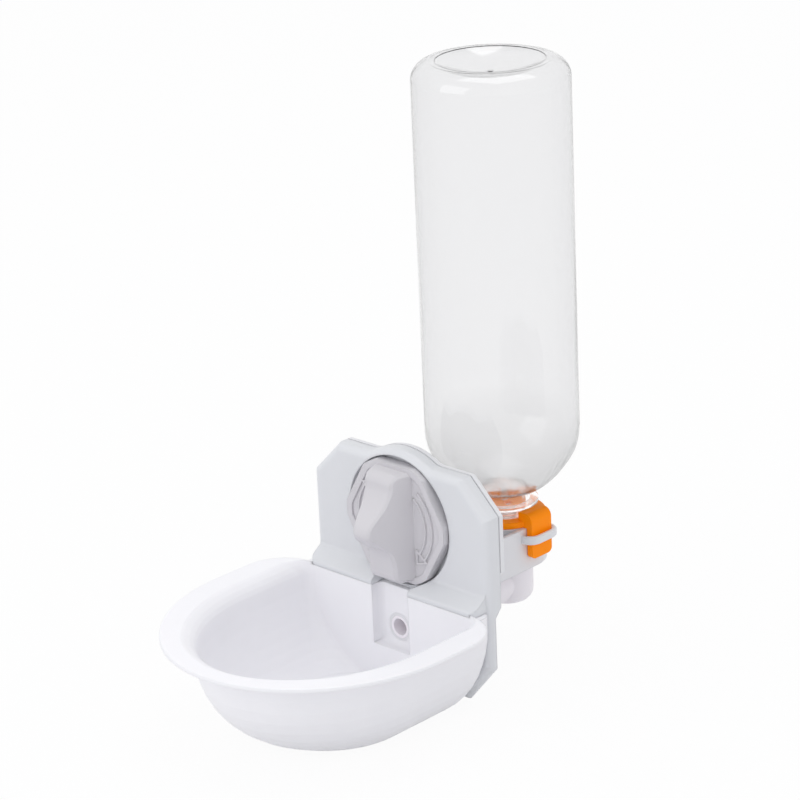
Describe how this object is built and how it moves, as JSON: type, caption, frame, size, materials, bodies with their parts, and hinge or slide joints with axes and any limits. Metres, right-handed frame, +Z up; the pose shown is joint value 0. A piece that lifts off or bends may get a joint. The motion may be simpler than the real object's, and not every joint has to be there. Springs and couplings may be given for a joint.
{
  "type": "gravity pet water dispenser",
  "caption": "Cage-clamped gravity water dispenser: upturned clear bottle with a push-open valve cap feeding a drinking bowl through an elbow, held by two plates and a clamp knob.",
  "frame": {"origin": "on the clamp screw's axis, in the plane of the front plate's back face, which bears on the cage's wires", "axes": "+Z up; the bowl reaches forward along -Y; the bottle stands behind the plates along +Y; +X is the side with the cap's tab"},
  "size_m": [0.148, 0.2425, 0.29],
  "materials": {
    "plate_white": "smooth injection-moulded, slightly cool white",
    "bowl_white": "smooth injection-moulded white with a satin sheen",
    "knob_white": "smooth injection-moulded greyish white",
    "bracket_white": "smooth injection-moulded white",
    "elbow_white": "smooth injection-moulded warm white",
    "cap_orange": "glossy orange",
    "bottle_clear": null,
    "inner_white": "plain moulded inner part",
    "washer_plastic": "slippery low-friction plastic",
    "seal_rubber": "soft silicone rubber",
    "stainless": "plain stainless steel"
  },
  "bodies": {
    "front": {"front_plate": "plate_white", "drinking_bowl": "bowl_white", "bowl_screw_left": "stainless", "bowl_screw_right": "stainless", "outlet_seal": "seal_rubber"},
    "knob": {"clamp_knob": "knob_white", "clamp_screw": "stainless", "knob_washer": "washer_plastic", "screw_clip": "stainless"},
    "rear": {"rear_bracket": "bracket_white", "clamp_nut": "stainless", "nut_cover": "bracket_white", "feed_elbow": "elbow_white", "elbow_seal": "seal_rubber", "valve_lifter": "inner_white"},
    "bottle": {"bottle": "bottle_clear", "valve_cap": "cap_orange", "cap_gasket": "seal_rubber", "spring_cage": "inner_white", "valve_spring": "stainless"},
    "valve": {"valve_plunger": "inner_white", "valve_seal": "seal_rubber"}
  },
  "joints": [
    {"name": "knob_turn", "type": "hinge", "parent": "front", "child": "knob", "pos_m": [0, 0, 0], "axis": [0, 1, 0], "range_deg": [-1800, 0]},
    {"name": "clamp_slide", "type": "slide", "parent": "front", "child": "rear", "axis": [0, 1, 0], "range_m": [0, 0.01]},
    {"name": "bottle_lift", "type": "slide", "parent": "rear", "child": "bottle", "axis": [0, 0, 1], "range_m": [0, 0.004]},
    {"name": "valve_slide", "type": "slide", "parent": "bottle", "child": "valve", "axis": [0, 0, 1], "range_m": [-0.004, 0], "deforming": ["valve_spring"]}
  ],
  "couplings": [
    {"joint": "knob_turn", "follows": "clamp_slide", "rad_per_m": -3141.6},
    {"joint": "valve_slide", "follows": "bottle_lift", "ratio": -1}
  ]
}
